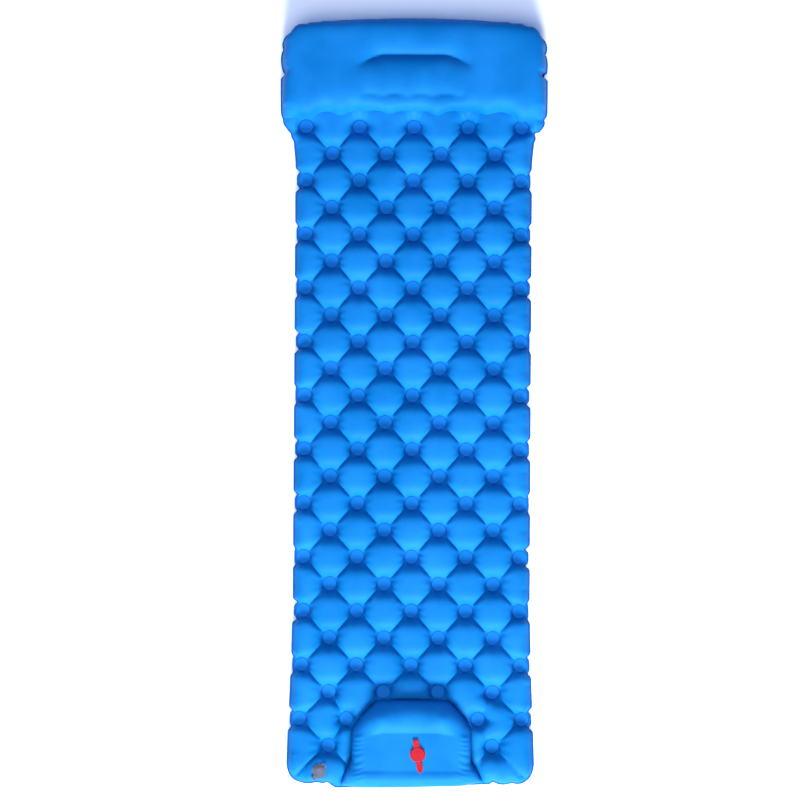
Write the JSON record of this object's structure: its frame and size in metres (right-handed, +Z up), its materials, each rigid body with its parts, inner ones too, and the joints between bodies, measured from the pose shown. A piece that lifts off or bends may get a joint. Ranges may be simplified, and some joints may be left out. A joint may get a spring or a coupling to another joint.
{
  "type": "inflatable sleeping mat",
  "caption": "Long inflatable camping mat of rounded diamond cells, with a raised pillow, a foam foot pump at the foot, a hinged intake cap and a two-stage release valve.",
  "frame": {"origin": "centre of the footprint, on the ground", "axes": "+Z up, +Y along the mat towards the pillow, X across it"},
  "size_m": [0.66, 1.9, 0.105],
  "materials": {
    "mat_fabric": "satin",
    "pump_foam": "matte",
    "red_valve": "gloss",
    "clear_valve": "gloss",
    "flap_silicone": "satin"
  },
  "bodies": {
    "mat": {"upper_panel": "mat_fabric", "lower_panel": "mat_fabric", "pillow_cover": "mat_fabric", "pillow_rear_tie": "mat_fabric", "pillow_front_tie": "mat_fabric", "pump_wall": "mat_fabric", "pump_foam": "pump_foam", "outlet_grid": "clear_valve", "release_valve_base": "clear_valve"},
    "tread": {"pump_tread": "mat_fabric", "intake_valve_base": "red_valve"},
    "intake_cap": {"intake_valve_cap": "red_valve"},
    "intake_flap": {"intake_flap": "flap_silicone"},
    "outlet_flap": {"outlet_flap": "flap_silicone"},
    "release_stopper": {"release_valve_stopper": "clear_valve"},
    "release_cap": {"release_valve_cap": "clear_valve"},
    "release_flap": {"release_flap": "flap_silicone"}
  },
  "joints": [
    {"name": "pump_stroke", "type": "slide", "parent": "mat", "child": "tread", "axis": [0, 0, 1], "range_m": [-0.025, 0], "stiffness_N_per_m": 3000, "deforming": ["pump_wall", "pump_foam"]},
    {"name": "intake_cap_hinge", "type": "hinge", "parent": "tread", "child": "intake_cap", "pos_m": [0.01284, -0.82541, 0.0897], "axis": [-0.9877, -0.1564, 0], "range_deg": [0, 135]},
    {"name": "intake_flap_hinge", "type": "hinge", "parent": "tread", "child": "intake_flap", "pos_m": [0.01605, -0.84565, 0.0754], "axis": [0.9877, 0.1564, 0], "range_deg": [0, 25], "stiffness_Nm_per_rad": 0.002, "springref_deg": -11.46},
    {"name": "outlet_flap_hinge", "type": "hinge", "parent": "mat", "child": "outlet_flap", "pos_m": [0, -0.7414, 0.0475], "axis": [1, 0, 0], "range_deg": [0, 30], "stiffness_Nm_per_rad": 0.002, "springref_deg": -11.46},
    {"name": "release_stopper_hinge", "type": "hinge", "parent": "mat", "child": "release_stopper", "pos_m": [-0.23562, -0.92115, 0.0607], "axis": [0.788, -0.6157, 0], "range_deg": [0, 110]},
    {"name": "release_cap_hinge", "type": "hinge", "parent": "release_stopper", "child": "release_cap", "pos_m": [-0.23002, -0.91398, 0.0624], "axis": [0.788, -0.6157, 0], "range_deg": [0, 85]},
    {"name": "release_flap_hinge", "type": "hinge", "parent": "release_stopper", "child": "release_flap", "pos_m": [-0.2278, -0.91115, 0.0529], "axis": [-0.788, 0.6157, 0], "range_deg": [0, 25], "stiffness_Nm_per_rad": 0.002, "springref_deg": -11.46}
  ]
}
